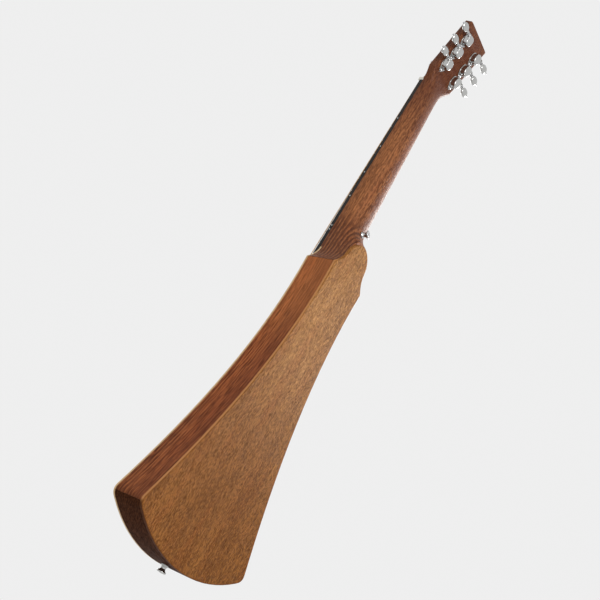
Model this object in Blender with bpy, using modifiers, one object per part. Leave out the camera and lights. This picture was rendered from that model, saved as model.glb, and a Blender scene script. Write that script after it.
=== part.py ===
"""A left-handed travel guitar with a paddle-shaped body, as the separate pieces it is made of.

The origin lies on the neck's front plane, at the nut. +X is the bass side, +Y the back and
+Z the tip of the headstock, so the guitar hangs upright. Every size is in metres. A distance
called down is measured from the nut towards the tail, along -Z.
"""
import math

import bmesh
import bpy
from mathutils import Matrix, Vector

# Clearance between pieces that touch, and how far a cutter runs past what it cuts
GAP = 0.0003
PAST = 0.001

# Scale and fingerboard
SCALE = 0.6096
FRET_COUNT = 15
NUT_HALF = 0.02145
TWELFTH_HALF = 0.0262
BOARD_LENGTH = 0.368
BOARD_THICK = 0.006
BOARD_RADIUS = 0.4064
FRET_HALF = 0.00115
FRET_HEIGHT = 0.00095
TANG_DEPTH = 0.0015
CROWN_STATIONS = (1.0, 0.5, 0.0, -0.5, -1.0)

# Neck: depths behind the fingerboard at two distances down, and the roundness of its back
NECK_DEPTH = (0.018, 0.0268)
NECK_STATIONS = (0.020, 0.250)
NECK_ROUND = 2.4
HEEL_START = 0.262
HEEL_TIP = 0.3055
TENON_HALF = 0.0359
TENON_END = 0.384
ROD_HALF = 0.0029
ROD_FRONT = 0.0031
ROD_BACK = 0.0106

# Body, from the shoulder corners to the tail corners
BODY_DEPTH = 0.0509
SHOULDER = 0.3579
SHOULDER_HALF = 0.0407
TAIL_CORNER = 0.7669
TAIL_HALF = 0.1199
TAIL_RISE = 0.0373
WAIST = -0.0873
WAIST_SKEW = -0.0112
CORNER_ROUND = 0.0095
FLARE_START = 0.330
TONGUE_HALF = 0.0262
TONGUE_FULL = 0.334
TOP_START = 0.331
TOP_THICK = 0.0025
BACK_THICK = 0.0042
WALL = 0.004
TAIL_BLOCK = 0.014
TAIL_BLOCK_HALF = 0.030
HOLE_DOWN = 0.420
HOLE_RADIUS = 0.026

# Bridge
BRIDGE_HALF = 0.056
BRIDGE_UP = 0.6010
BRIDGE_DOWN = 0.6350
BRIDGE_THICK = 0.0082
BRIDGE_CORNER = 0.009
SADDLE_DOWN = 0.6116
SADDLE_THICK = 0.003
SADDLE_HALF = 0.034
SADDLE_FOOT = 0.003
SADDLE_LEAN = math.radians(2.2)
PIN_DOWN = 0.6270
PIN_HEAD = 0.0037
PIN_SHAFT = 0.0024
PLATE_HALF = 0.035
PLATE_THICK = 0.002

# Strings, from the first (thinnest) to the sixth
STRING_RADII = (0.0002, 0.00022, 0.00030, 0.00041, 0.00053, 0.00067)
STRING_LIFT = 0.0077
STRING_RISE = 0.0052
NUT_SPREAD = 0.0178
SADDLE_SPREAD = 0.027
NUT_THICK = 0.0055
NUT_TOP = 0.0089
BALL_RADIUS = 0.0019
WINDS = 1.75
WIND_STEPS = 10
WIND_CLEARANCE = 0.00045

# Headstock, tilted back, in its own frame: along from the nut, out from its back face
HEAD_TILT = math.radians(12.15)
HEAD_BACK = 0.0127
HEAD_THICK = 0.013
HEAD_LENGTH = 0.1174
HEAD_TIP_HALF = 0.0329
WING_ALONG = 0.0200
WING_HALF = 0.0312
VALLEY_ALONG = 0.0178
VALLEY_REACH = 0.0070
VALLEY_SLOPE = 0.2556

# Tuning machines
POST_ACROSS = 0.0188
FIRST_POST = 0.0349
POST_PITCH = 0.0263
POST_RADIUS = 0.0028
POST_TOP = 0.0135
TOOTH = 0.0006
GEAR_TEETH = 14
WORM_OFFSET = 0.0064
WORM_HEIGHT = 0.008
WORM_CORE = 0.0019
THREAD_RADIUS = 0.0005
GEAR_FACES = (-0.0090, -0.0064)
GEAR_EYE = 0.0018
PIVOT_RADIUS = 0.0012
COLLAR_RADIUS = 0.0043
COVER_RADIUS = 0.0069
COVER_HEIGHT = 0.0108
BARREL_RADIUS = 0.0039
TAB_ALONG = 0.0100
BUTTON_CENTRE = 0.0242
BUTTON_SIZE = (0.0082, 0.0063, 0.0028)

# Strap buttons
STRAP_LENGTH = 0.010
STRAP_FOOT = 0.0049
STRAP_BORE = 0.0017
HEEL_BUTTON_DOWN = 0.2825
HEEL_BUTTON_ACROSS = -0.0025
HEEL_BUTTON_AIM = Vector((-0.20, 0.92, 0.34)).normalized()

for old in list(bpy.data.objects):
    bpy.data.objects.remove(old)
PARTS = bpy.data.collections.new("travel_guitar")
CUTTERS = bpy.data.collections.new("cutters")
for group in (PARTS, CUTTERS):
    bpy.context.scene.collection.children.link(group)


# Materials and basic shapes

def material(name, colour, roughness, metallic=0.0):
    paint = bpy.data.materials.new(name)
    paint.use_nodes = True
    shader = paint.node_tree.nodes["Principled BSDF"]
    shader.inputs["Base Color"].default_value = (*colour, 1.0)
    shader.inputs["Roughness"].default_value = roughness
    shader.inputs["Metallic"].default_value = metallic
    return paint


def link(name, data, paint=None):
    thing = bpy.data.objects.new(name, data)
    PARTS.objects.link(thing)
    if paint:
        data.materials.append(paint)
    return thing


def hide(thing):
    """Moves a cutter or a joining shape out of the parts."""
    if thing.name in PARTS.objects:
        PARTS.objects.unlink(thing)
        CUTTERS.objects.link(thing)
    thing.hide_render = True
    thing.display_type = "WIRE"


def combine(target, tool, operation="DIFFERENCE"):
    hide(tool)
    change = target.modifiers.new(tool.name, "BOOLEAN")
    change.operation = operation
    change.solver = "EXACT"
    change.object = tool


def gather(name, things, paint=None):
    """Makes one mesh object of finished shapes."""
    bpy.context.view_layer.update()
    graph = bpy.context.evaluated_depsgraph_get()
    shape = bmesh.new()
    for thing in things:
        mesh = bpy.data.meshes.new_from_object(thing.evaluated_get(graph))
        mesh.transform(thing.matrix_world)
        shape.from_mesh(mesh)
    bmesh.ops.remove_doubles(shape, verts=shape.verts, dist=1e-6)
    for thing in things:
        bpy.data.objects.remove(thing)
    mesh = bpy.data.meshes.new(name)
    shape.to_mesh(mesh)
    mesh.materials.clear()
    return link(name, mesh, paint)


def smooth(thing, angle=35):
    thing.data.shade_smooth()
    thing.data.set_sharp_from_angle(angle=math.radians(angle))
    return thing


def finish_shape(name, shape, paint):
    bmesh.ops.recalc_face_normals(shape, faces=shape.faces)
    mesh = bpy.data.meshes.new(name)
    shape.to_mesh(mesh)
    return link(name, mesh, paint)


def box(name, low, high, paint=None, frame=Matrix()):
    """A box between two opposite corners, in a frame."""
    low, high = Vector(low), Vector(high)
    shape = bmesh.new()
    bmesh.ops.create_cube(shape, size=1.0)
    size = high - low
    bmesh.ops.transform(shape, verts=shape.verts, matrix=Matrix.Diagonal((*size, 1.0)))
    bmesh.ops.translate(shape, verts=shape.verts, vec=(low + high) / 2)
    thing = finish_shape(name, shape, paint)
    thing.matrix_world = frame
    return thing


def rod(name, start, end, radius, sides=16, paint=None, frame=Matrix()):
    """A cylinder from one point to another, in a frame."""
    start, end = Vector(start), Vector(end)
    shape = bmesh.new()
    bmesh.ops.create_cone(shape, cap_ends=True, segments=sides, radius1=radius, radius2=radius,
                          depth=(end - start).length)
    turn = (end - start).to_track_quat("Z", "Y").to_matrix().to_4x4()
    bmesh.ops.transform(shape, verts=shape.verts, matrix=Matrix.Translation((start + end) / 2) @ turn)
    thing = smooth(finish_shape(name, shape, paint))
    thing.matrix_world = frame
    return thing


def turned(name, profile, sides=16, paint=None, frame=Matrix()):
    """Turns a profile of (radius, height), listed down its outer side, about the frame's Z axis."""
    count = len(profile)
    edges = [(i, i + 1) for i in range(count - 1)]
    if profile[0][0] > 0:
        edges.append((count - 1, 0))
    mesh = bpy.data.meshes.new(name)
    mesh.from_pydata([(radius, 0.0, height) for radius, height in profile], edges, [])
    thing = link(name, mesh, paint)
    screw = thing.modifiers.new("turn", "SCREW")
    screw.steps = sides
    screw.render_steps = sides
    screw.use_merge_vertices = True
    screw.merge_threshold = 0.00001
    thing.matrix_world = frame
    return thing


def loft(name, rings, paint):
    """Skins rings of equally many points, with a flat cap at each end."""
    shape = bmesh.new()
    rows = [[shape.verts.new(point) for point in ring] for ring in rings]
    for near, far in zip(rows, rows[1:]):
        for i in range(len(near)):
            shape.faces.new((near[i - 1], near[i], far[i], far[i - 1]))
    shape.faces.new(rows[0])
    shape.faces.new(rows[-1])
    return finish_shape(name, shape, paint)


def plate(name, outline, front, back, paint):
    """A flat board from an outline of (across, down) points, between two depths."""
    curve = bpy.data.curves.new(name, "CURVE")
    curve.dimensions = "2D"
    curve.fill_mode = "BOTH"
    curve.extrude = (back - front) / 2
    spline = curve.splines.new("POLY")
    spline.points.add(len(outline) - 1)
    for spot, (across, down) in zip(spline.points, outline):
        spot.co = (across, -down, 0.0, 1.0)
    spline.use_cyclic_u = True
    flat = link(name + "_outline", curve)
    flat.rotation_euler = (math.pi / 2, 0.0, 0.0)
    flat.location = (0.0, (front + back) / 2, 0.0)
    return gather(name, [flat], paint)


def tube(name, points, radius, resolution, paint):
    curve = bpy.data.curves.new(name, "CURVE")
    curve.dimensions = "3D"
    curve.bevel_depth = radius
    curve.bevel_resolution = resolution
    curve.use_fill_caps = True
    spline = curve.splines.new("POLY")
    spline.points.add(len(points) - 1)
    for spot, point in zip(spline.points, points):
        spot.co = (*point, 1.0)
    return gather(name, [link(name + "_line", curve)], paint)


# Rules that several pieces share

def fret_down(number):
    return SCALE * (1 - 2 ** (-number / 12))


def board_half(down):
    return NUT_HALF + (TWELFTH_HALF - NUT_HALF) * down / (SCALE / 2)


def crown(across, half):
    """How much higher the rounded fingerboard is than at its edge."""
    return (half ** 2 - across ** 2) / (2 * BOARD_RADIUS)


def flare(down):
    """From 0 where the heel starts to widen to 1 at the shoulder corner."""
    return max(0.0, (down - FLARE_START) / (SHOULDER - FLARE_START)) ** 2


def heel_half(down):
    return board_half(down) + (SHOULDER_HALF - board_half(SHOULDER)) * flare(down)


def tongue_half(down):
    reach = min(1.0, max(0.0, (down - HEEL_TIP) / (TONGUE_FULL - HEEL_TIP)))
    return TONGUE_HALF * (1 - (1 - reach) ** 2) ** 0.6 + (SHOULDER_HALF - TONGUE_HALF) * flare(down)


def body_half(down):
    s = (down - SHOULDER) / (TAIL_CORNER - SHOULDER)
    straight = SHOULDER_HALF + (TAIL_HALF - SHOULDER_HALF) * s
    return straight + WAIST * s * (1 - s) + WAIST_SKEW * s * (1 - s) * (1 - 2 * s)


def side_line(steps=16):
    """The body's edge from the shoulder corner to the tail corner."""
    length = TAIL_CORNER - SHOULDER
    downs = [SHOULDER + length * i / steps for i in range(steps + 1)]
    return [(body_half(down), down) for down in downs]


def tail_line(steps=10):
    """The tail's arc from its corner to the middle."""
    radius = (TAIL_HALF ** 2 + TAIL_RISE ** 2) / (2 * TAIL_RISE)
    centre = TAIL_CORNER + TAIL_RISE - radius
    wide = math.asin(TAIL_HALF / radius)
    angles = [wide * (1 - i / steps) for i in range(steps + 1)]
    return [(radius * math.sin(a), centre + radius * math.cos(a)) for a in angles]


def inside(points, distance):
    """The same open line moved towards the body's middle, mitred at its corners."""
    moved = []
    for i, here in enumerate(points):
        normals = []
        for a, b in ((i - 1, i), (i, i + 1)):
            if a >= 0 and b < len(points):
                along = Vector(points[b]) - Vector(points[a])
                normals.append(Vector((-along.y, along.x)).normalized())
        first, last = normals[0], normals[-1]
        moved.append(tuple(Vector(here) + (first + last) * distance / (1 + first.dot(last))))
    return moved


def corner_arc(before, corner, after, reach, steps=6):
    """Points that round off a corner, from reach before it to reach after it."""
    corner = Vector(corner)
    start = corner + (Vector(before) - corner).normalized() * reach
    end = corner + (Vector(after) - corner).normalized() * reach
    return [tuple(start.lerp(corner, i / steps).lerp(corner.lerp(end, i / steps), i / steps))
            for i in range(steps + 1)]


def mirrored(half):
    """Closes a half outline, from top to tail, with its mirror image."""
    rest = [(-across, down) for across, down in reversed(half) if across > 1e-7]
    return half + rest


def rounded(points, radius, steps=3):
    """A route in space with each of its corners rounded."""
    route = [Vector(points[0])]
    for before, corner, after in zip(points, points[1:], points[2:]):
        before, corner, after = Vector(before), Vector(corner), Vector(after)
        start = corner + (before - corner).normalized() * radius
        end = corner + (after - corner).normalized() * radius
        for i in range(steps + 1):
            t = i / steps
            route.append(start.lerp(corner, t).lerp(corner.lerp(end, t), t))
    route.append(Vector(points[-1]))
    return route


def head_frame():
    """X across, Y along the headstock towards its tip, Z out of its front, from its back face."""
    along = (0.0, math.sin(HEAD_TILT), math.cos(HEAD_TILT))
    out = (0.0, -math.cos(HEAD_TILT), math.sin(HEAD_TILT))
    turn = Matrix(((1.0, 0.0, 0.0), along, out)).transposed().to_4x4()
    return Matrix.Translation((0.0, HEAD_BACK, 0.0)) @ turn


HEAD = head_frame()
BACK_FACE = BODY_DEPTH - BACK_THICK - GAP
SIDE = side_line()
TAIL = tail_line()
CORNER = corner_arc(SIDE[-2], SIDE[-1], TAIL[1], CORNER_ROUND)
EDGE = SIDE[:-1] + CORNER + TAIL[1:]


# Neck, with its headstock, heel and tenon

def section(base, tilt, half, depth, power, cap=0.062):
    """One ring of the neck: flat in front, rounded behind, cut off flat at the cap."""
    high = math.radians(68)
    if depth > cap:
        high = min(high, math.asin((cap / depth) ** (power / 2)))
    flat_top = depth * math.sin(high) ** (2 / power) >= cap * 0.999
    side_steps, top_steps = 7, 4
    ring = []
    for i in range(side_steps + 1):
        t = high * i / side_steps
        ring.append((half * math.cos(t) ** (2 / power), depth * math.sin(t) ** (2 / power)))
    for i in range(1, top_steps):
        f = i / top_steps
        t = high + (math.pi - 2 * high) * f
        across = half * math.copysign(abs(math.cos(t)) ** (2 / power), math.cos(t))
        rise = min(cap, depth * math.sin(t) ** (2 / power))
        if flat_top:
            across, rise = ring[side_steps][0] * (1 - 2 * f), cap
        ring.append((across, rise))
    ring += [(-across, rise) for across, rise in reversed(ring[:side_steps + 1])]
    back = Vector((0.0, math.cos(tilt), -math.sin(tilt)))
    return [Vector(base) + Vector((across, 0.0, 0.0)) + back * rise for across, rise in ring]


def neck_depth(down):
    (near, far), (first, last) = NECK_DEPTH, NECK_STATIONS
    depth = near + (far - near) * (down - first) / (last - first)
    if down > HEEL_START:
        at_tip = near + (far - near) * (HEEL_TIP - first) / (last - first)
        depth += (BODY_DEPTH - at_tip) * ((down - HEEL_START) / (HEEL_TIP - HEEL_START)) ** 3
    return depth


def valley(along):
    """How far the neck's back still stands out behind the headstock's, eased to nothing."""
    if along < VALLEY_ALONG - VALLEY_REACH:
        return VALLEY_SLOPE * (VALLEY_ALONG - along)
    left = max(0.0, VALLEY_ALONG + VALLEY_REACH - along)
    return VALLEY_SLOPE * left ** 2 / (4 * VALLEY_REACH)


def head_ring(along, half, power, inset=0.0):
    depth = HEAD_THICK + valley(along) - 2 * inset
    base = HEAD @ Vector((0.0, along, HEAD_THICK - inset))
    return section(base, HEAD_TILT, half - inset, depth, power)


def neck_rings():
    """Rings from the headstock's tip, over the soft valley behind the nut, to the shoulder."""
    chamfer = 0.0007
    rings = [head_ring(HEAD_LENGTH, HEAD_TIP_HALF, 14, chamfer)]
    rings.append(head_ring(HEAD_LENGTH - chamfer, HEAD_TIP_HALF, 14))
    rings.append(head_ring(VALLEY_ALONG + VALLEY_REACH, WING_HALF + 0.0001, 12))
    for along, power in ((WING_ALONG, 9.0), (0.0185, 8.0), (0.0165, 7.0), (0.0140, 6.0), (0.0110, 5.0),
                         (0.0080, 4.3)):
        wide = NUT_HALF + (WING_HALF - NUT_HALF) * (along / WING_ALONG) ** 1.2
        rings.append(head_ring(along, wide, power))
    rings.append(section((0.0, 0.0, 0.0050), HEAD_TILT / 2, 0.0228, 0.0171, 3.7))
    rings.append(section((0.0, 0.0, 0.0), HEAD_TILT / 4, board_half(0.0), 0.0172, 3.1))
    rings.append(section((0.0, 0.0, -0.008), 0.0, board_half(0.008), 0.0175, 2.6))
    for down in (0.020, 0.135, 0.250, 0.262, 0.270, 0.277, 0.283, 0.289, 0.295, 0.300, 0.304, HEEL_TIP):
        rings.append(section((0.0, 0.0, -down), 0.0, board_half(down), neck_depth(down), NECK_ROUND))
    for down in (0.3075, 0.309, 0.312, 0.316, 0.321, 0.327, 0.333, 0.339, 0.345, 0.3505, 0.355,
                 SHOULDER - GAP):
        rings.append(heel_ring(down))
    return rings


def heel_ring(down):
    """A ring under the tongue: as wide as the tongue at the back, and as the shoulder in front."""
    narrowing = 1 - (tongue_half(down) / heel_half(down)) ** NECK_ROUND
    depth = BODY_DEPTH * max(narrowing, 0.001) ** (-1 / NECK_ROUND)
    return section((0.0, 0.0, -down), 0.0, heel_half(down), depth, NECK_ROUND)


def neck_back(down, across):
    """Depth of the neck's back at one spot."""
    return neck_depth(down) * (1 - (abs(across) / board_half(down)) ** NECK_ROUND) ** (1 / NECK_ROUND)


def facing(spot, aim):
    """A frame at a spot, whose Z points along the aim."""
    return Matrix.Translation(spot) @ aim.to_track_quat("Z", "Y").to_matrix().to_4x4()


HEEL_SPOT = Vector((HEEL_BUTTON_ACROSS, neck_back(HEEL_BUTTON_DOWN, HEEL_BUTTON_ACROSS), -HEEL_BUTTON_DOWN))
HEEL_STRAP = facing(HEEL_SPOT, HEEL_BUTTON_AIM)
END_SPOT = Vector((0.0, BODY_DEPTH / 2, -TAIL_CORNER - TAIL_RISE - GAP))
END_STRAP = facing(END_SPOT, Vector((0.0, 0.0, -1.0)))


def post_spots():
    """String number, side and distance along the headstock of each post."""
    spots = []
    for row in range(3):
        along = FIRST_POST + POST_PITCH * row
        spots += [(6 - row, 1, along), (1 + row, -1, along)]
    return spots


def make_neck(paint):
    neck = loft("neck", neck_rings(), paint)
    wide, rebate = 0.1, TOP_THICK + GAP
    combine(neck, box("heel_back_cut", (-wide, BACK_FACE, -0.4), (wide, BACK_FACE + wide, -0.3)))
    tenon = box("tenon", (-TENON_HALF, 0.001, -TENON_END),
                (TENON_HALF, BACK_FACE - 0.0005, -SHOULDER + 0.002))
    combine(neck, tenon, "UNION")
    combine(neck, box("top_rebate", (-wide, -PAST, -0.4), (wide, rebate, -TOP_START + GAP)))
    channel = box("rod_channel", (-ROD_HALF - GAP, -PAST, -TENON_END - PAST),
                  (ROD_HALF + GAP, ROD_BACK + GAP, -0.0085))
    combine(neck, channel)
    seat = rod("heel_seat", (0.0, 0.0, -0.0004), (0.0, 0.0, 0.010), STRAP_FOOT + GAP, 20, None, HEEL_STRAP)
    combine(neck, seat)
    bores = [rod("strap_bore", (0.0, 0.0, -0.0175), (0.0, 0.0, 0.002), STRAP_BORE, 8, None, HEEL_STRAP)]
    for _, side, along in post_spots():
        across, tab = side * POST_ACROSS, along - TAB_ALONG
        bores.append(rod("post_bore", (across, along, -PAST), (across, along, HEAD_THICK + PAST),
                         COLLAR_RADIUS + 0.0004, 12, None, HEAD))
        bores.append(rod("screw_bore", (across, tab, -PAST), (across, tab, 0.0092), 0.0013, 6, None, HEAD))
    combine(neck, gather("neck_bores", bores))
    return neck


# Body

def make_walls(paint):
    """Two bent side walls and the tail wall between them, mitred where they meet."""
    depths = (TOP_THICK + GAP, BACK_FACE)
    inner = inside(SIDE + TAIL[1:], WALL)
    turn = len(SIDE) - 1
    middle = len(CORNER) // 2
    mitre = (Vector(CORNER[middle]) - Vector(inner[turn])).normalized()
    part = Vector((mitre.y, -mitre.x)) * GAP / 2

    outer = SIDE[:-1] + CORNER[:middle] + [tuple(Vector(CORNER[middle]) + part)]
    face = [tuple(Vector(inner[turn]) + part)] + inner[:turn][::-1]
    top = SHOULDER + GAP
    side = [(outer[0][0], top)] + outer[1:] + face[:-1] + [(face[-1][0], top)]
    plate("side_bass", side, *depths, paint)
    plate("side_treble", [(-across, down) for across, down in side], *depths, paint)

    outer = [tuple(Vector(CORNER[middle]) - part)] + CORNER[middle + 1:] + TAIL[1:]
    arc = [spot for spot in inner[turn + 1:] if spot[0] > TAIL_BLOCK_HALF]
    block = TAIL_CORNER + TAIL_RISE - TAIL_BLOCK
    face = [tuple(Vector(inner[turn]) - part)] + arc
    face += [(TAIL_BLOCK_HALF, arc[-1][1]), (TAIL_BLOCK_HALF - 0.004, block), (0.0, block)]
    outline = outer + [(-across, down) for across, down in outer[-2::-1]]
    outline += [(-across, down) for across, down in face] + face[-2::-1]
    tail = plate("tail_block", outline, *depths, paint)
    combine(tail, rod("tail_bore", (0.0, 0.0, -0.0125), (0.0, 0.0, 0.002), STRAP_BORE, 8, None, END_STRAP))


def top_outline():
    steps = 6
    scoop = [TOP_START + (SHOULDER - TOP_START) * i / steps for i in range(steps)]
    return mirrored([(heel_half(down), down) for down in scoop] + EDGE)


def back_outline():
    tip_steps, flare_steps = 8, 6
    turn = [1 - math.cos(math.pi / 2 * i / tip_steps) for i in range(tip_steps)]
    downs = [HEEL_TIP + (TONGUE_FULL - HEEL_TIP) * t for t in turn]
    downs += [TONGUE_FULL + (SHOULDER - TONGUE_FULL) * i / flare_steps for i in range(flare_steps)]
    return mirrored([(tongue_half(down), down) for down in downs] + EDGE)


def make_back(paint):
    """The back plate, whose outer edge is rounded over."""
    outline = back_outline()
    count = len(outline)
    rings = []
    for height, inset in ((BACK_THICK, 0.0), (0.0010, 0.0), (0.0003, 0.0004), (0.0, 0.0012)):
        loop = inside([outline[-1]] + outline + [outline[0]], inset)[1:count + 1]
        rings.append([(across, BODY_DEPTH - height, -down) for across, down in loop])
    return smooth(loft("back_plate", rings, paint), 50)


def make_top(paint, pin_holes):
    top = plate("soundboard", top_outline(), 0.0, TOP_THICK, paint)
    combine(top, rod("sound_hole", (0.0, -PAST, -HOLE_DOWN), (0.0, TOP_THICK + PAST, -HOLE_DOWN),
                     HOLE_RADIUS, 32))
    combine(top, pin_holes)


def brace(name, start, end, width, height, face, towards):
    """A bar glued to a board between two (across, down) spots, low at both ends."""
    start, end = Vector(start), Vector(end)
    along = (end - start).normalized()
    cross = Vector((-along.y, along.x)) * width / 2
    rings = []
    for f, tall in ((0.0, 0.3), (0.18, 1.0), (0.82, 1.0), (1.0, 0.3)):
        spot = start.lerp(end, f)
        low, high = face + towards * GAP, face + towards * (GAP + height * tall)
        rings.append([(spot.x + sign * cross.x, depth, -spot.y - sign * cross.y)
                      for sign, depth in ((-1, low), (1, low), (1, high), (-1, high))])
    return loft(name, rings, None)


def make_braces(paint):
    """Crossed bars under the soundboard, and bars along and across the back, each set joined."""
    def across(down, width, height, face, towards):
        half = min(body_half(down - width / 2), body_half(down + width / 2)) - WALL - 0.0015
        return brace("brace", (-half, down), (half, down), width, height, face, towards)

    bracing = across(0.455, 0.007, 0.012, TOP_THICK, 1)
    bracing.name = "soundboard_bracing"
    bars = [brace("brace", (-sign * 0.030, 0.4535), (sign * 0.082, 0.700), 0.006, 0.0105, TOP_THICK, 1)
            for sign in (-1, 1)]
    for bar in bars + [across(0.690, 0.0068, 0.0098, TOP_THICK, 1)]:
        combine(bracing, bar, "UNION")
    back = BODY_DEPTH - BACK_THICK
    ladder = brace("brace", (0.0, 0.445), (0.0, 0.745), 0.012, 0.003, back, -1)
    ladder.name = "back_bracing"
    for down in (0.462, 0.575, 0.695):
        combine(ladder, across(down, 0.008, 0.011, back, -1), "UNION")
    for thing in (bracing, ladder):
        thing.data.materials.append(paint)


def make_rod(paint):
    """The truss rod lies in the neck, with its adjusting nut inside the body."""
    bar = box("truss_rod", (-ROD_HALF, ROD_FRONT, -TENON_END - 0.002), (ROD_HALF, ROD_BACK, -0.009), paint)
    middle = (ROD_FRONT + ROD_BACK) / 2
    nut = rod("rod_nut", (0.0, middle, -TENON_END), (0.0, middle, -TENON_END - 0.012), 0.0036, 6)
    combine(bar, nut, "UNION")
    return bar


# Fingerboard, frets and nut

def make_board(ebony):
    """The fingerboard, with its frets joined to it."""
    def ring(down):
        half, top = board_half(down), -GAP - BOARD_THICK
        arc = [(half * f, top - crown(half * f, half)) for f in CROWN_STATIONS]
        return [(across, depth, -down) for across, depth in [(half, -GAP)] + arc + [(-half, -GAP)]]

    board = loft("fingerboard", [ring(0.0), ring(BOARD_LENGTH)], ebony)
    wide = FRET_HALF
    profile = ((-wide, 0.0), (-0.5 * wide, -FRET_HEIGHT), (0.5 * wide, -FRET_HEIGHT), (wide, 0.0),
               (wide, TANG_DEPTH), (-wide, TANG_DEPTH))
    frets = []
    for number in range(1, FRET_COUNT + 1):
        down = fret_down(number)
        half = board_half(down) - GAP
        rings = []
        for f in CROWN_STATIONS:
            base = -GAP - BOARD_THICK - crown(half * f, half)
            rings.append([(half * f, base + rise, -down + along) for along, rise in profile])
        frets.append(loft("fret", rings, None))
    combine(board, gather("frets", frets), "UNION")
    return board


def crowned_bar(name, half, low, high, round_half, thick, paint):
    """A bar across the strings with a flat foot and a top that follows their crown."""
    tops = [half * f for f in CROWN_STATIONS]
    outline = [(half, low)] + [(x, high - crown(x, round_half)) for x in tops] + [(-half, low)]
    rings = [[(x, y, z) for x, y in outline] for z in (thick / 2, -thick / 2)]
    return loft(name, rings, paint)


def string_across(number, spread):
    return spread * (2 * (number - 1) / 5 - 1)


def string_depth(number, down):
    """Depth of a string's middle line in front of the body's plane."""
    spread = NUT_SPREAD + (SADDLE_SPREAD - NUT_SPREAD) * down / SCALE
    across = string_across(number, spread)
    lift = STRING_LIFT + STRING_RISE * down / SCALE
    return -(lift + crown(across, board_half(down)) + STRING_RADII[number - 1])


def wind_start(number, side, along):
    """Where a string meets its post: the point, the winding radius and its height."""
    radius = POST_RADIUS + GAP + STRING_RADII[number - 1]
    height = HEAD_THICK + 0.0036 + STRING_RADII[number - 1]
    return HEAD @ Vector((side * (POST_ACROSS - radius), along, height)), radius, height


def nut_exit(number):
    across = string_across(number, NUT_SPREAD)
    return Vector((across, string_depth(number, 0.0), 0.0004))


def make_nut(paint):
    """The nut, with a slot for each string that aims at the string's post."""
    nut = crowned_bar("nut", NUT_HALF, -GAP, -NUT_TOP, NUT_HALF, NUT_THICK - GAP, paint)
    nut.location = (0.0, 0.0, (NUT_THICK + GAP) / 2)
    for number, side, along in post_spots():
        start = nut_exit(number)
        aim = (wind_start(number, side, along)[0] - start).normalized()
        wide = STRING_RADII[number - 1] + GAP
        frame = facing(start, aim)
        combine(nut, rod("slot", (0.0, 0.0, -0.003), (0.0, 0.0, 0.009), wide, 6, None, frame))
        combine(nut, box("slot", (start.x - wide, start.y - 0.006, -0.004), (start.x + wide, start.y, 0.009)))
    return nut


def make_saddle(paint):
    top = string_depth(3, SCALE) + STRING_RADII[2] + crown(string_across(3, SADDLE_SPREAD), board_half(SCALE))
    saddle = crowned_bar("saddle", SADDLE_HALF, -SADDLE_FOOT, top + 2 * GAP, board_half(SCALE),
                         SADDLE_THICK, paint)
    saddle.rotation_euler = (0.0, SADDLE_LEAN, 0.0)
    saddle.location = (0.0, 0.0, -SADDLE_DOWN)
    return saddle


def saddle_spot(number):
    """Where a string bends over the saddle, near its edge on the pins' side."""
    across = string_across(number, SADDLE_SPREAD)
    down = SADDLE_DOWN + SADDLE_THICK / 3 + across * math.tan(SADDLE_LEAN)
    return Vector((across, string_depth(number, SCALE), -down))


# Bridge, pins and their holes

def string_foot(number, depth):
    """Where a string runs beside its pin, at one depth: it leans towards the saddle as it rises."""
    lean = (0.0046 - 0.0034) / (BRIDGE_THICK + TOP_THICK + PLATE_THICK)
    ahead = 0.0034 + lean * (TOP_THICK + PLATE_THICK - depth)
    return Vector((string_across(number, SADDLE_SPREAD), depth, -PIN_DOWN + ahead))


def make_pin_holes():
    """The holes of the bridge pins, each with its string's way beside it."""
    low, high = TOP_THICK + PLATE_THICK + 0.002, -GAP - BRIDGE_THICK - 0.002
    holes = []
    for number in range(1, 7):
        across = string_across(number, SADDLE_SPREAD)
        pin = rod("pin_hole", (across, low, -PIN_DOWN), (across, high, -PIN_DOWN), PIN_SHAFT + GAP, 8)
        way = rod("string_way", string_foot(number, low), string_foot(number, high),
                  STRING_RADII[number - 1] + 2 * GAP, 6)
        combine(pin, way, "UNION")
        holes.append(pin)
    return gather("pin_holes", holes)


def bridge_outline(inset, steps=3):
    """A long rectangle with round corners."""
    half, reach = BRIDGE_HALF - inset, BRIDGE_CORNER
    points = []
    for quarter, (sx, edge) in enumerate(((1, BRIDGE_UP + inset), (1, BRIDGE_DOWN - inset),
                                          (-1, BRIDGE_DOWN - inset), (-1, BRIDGE_UP + inset))):
        centre = Vector((sx * (half - reach), edge + reach * (-1 if quarter in (1, 2) else 1)))
        for i in range(steps + 1):
            angle = math.pi / 2 * (quarter + i / steps)
            points.append((centre.x + reach * math.sin(angle), centre.y - reach * math.cos(angle)))
    return points


def make_bridge(ebony, pin_holes):
    levels = ((-GAP, 0.0), (-0.0070, 0.0007), (-GAP - BRIDGE_THICK, 0.0026))
    rings = [[(across, depth, -down) for across, down in bridge_outline(inset)] for depth, inset in levels]
    bridge = smooth(loft("bridge", rings, ebony))
    room = SADDLE_THICK / 2 + GAP
    slot = box("saddle_slot", (-SADDLE_HALF - GAP, -0.02, -room),
               (SADDLE_HALF + GAP, -SADDLE_FOOT + GAP, room))
    slot.rotation_euler = (0.0, SADDLE_LEAN, 0.0)
    slot.location = (0.0, 0.0, -SADDLE_DOWN)
    combine(bridge, slot)
    combine(bridge, pin_holes)


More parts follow.
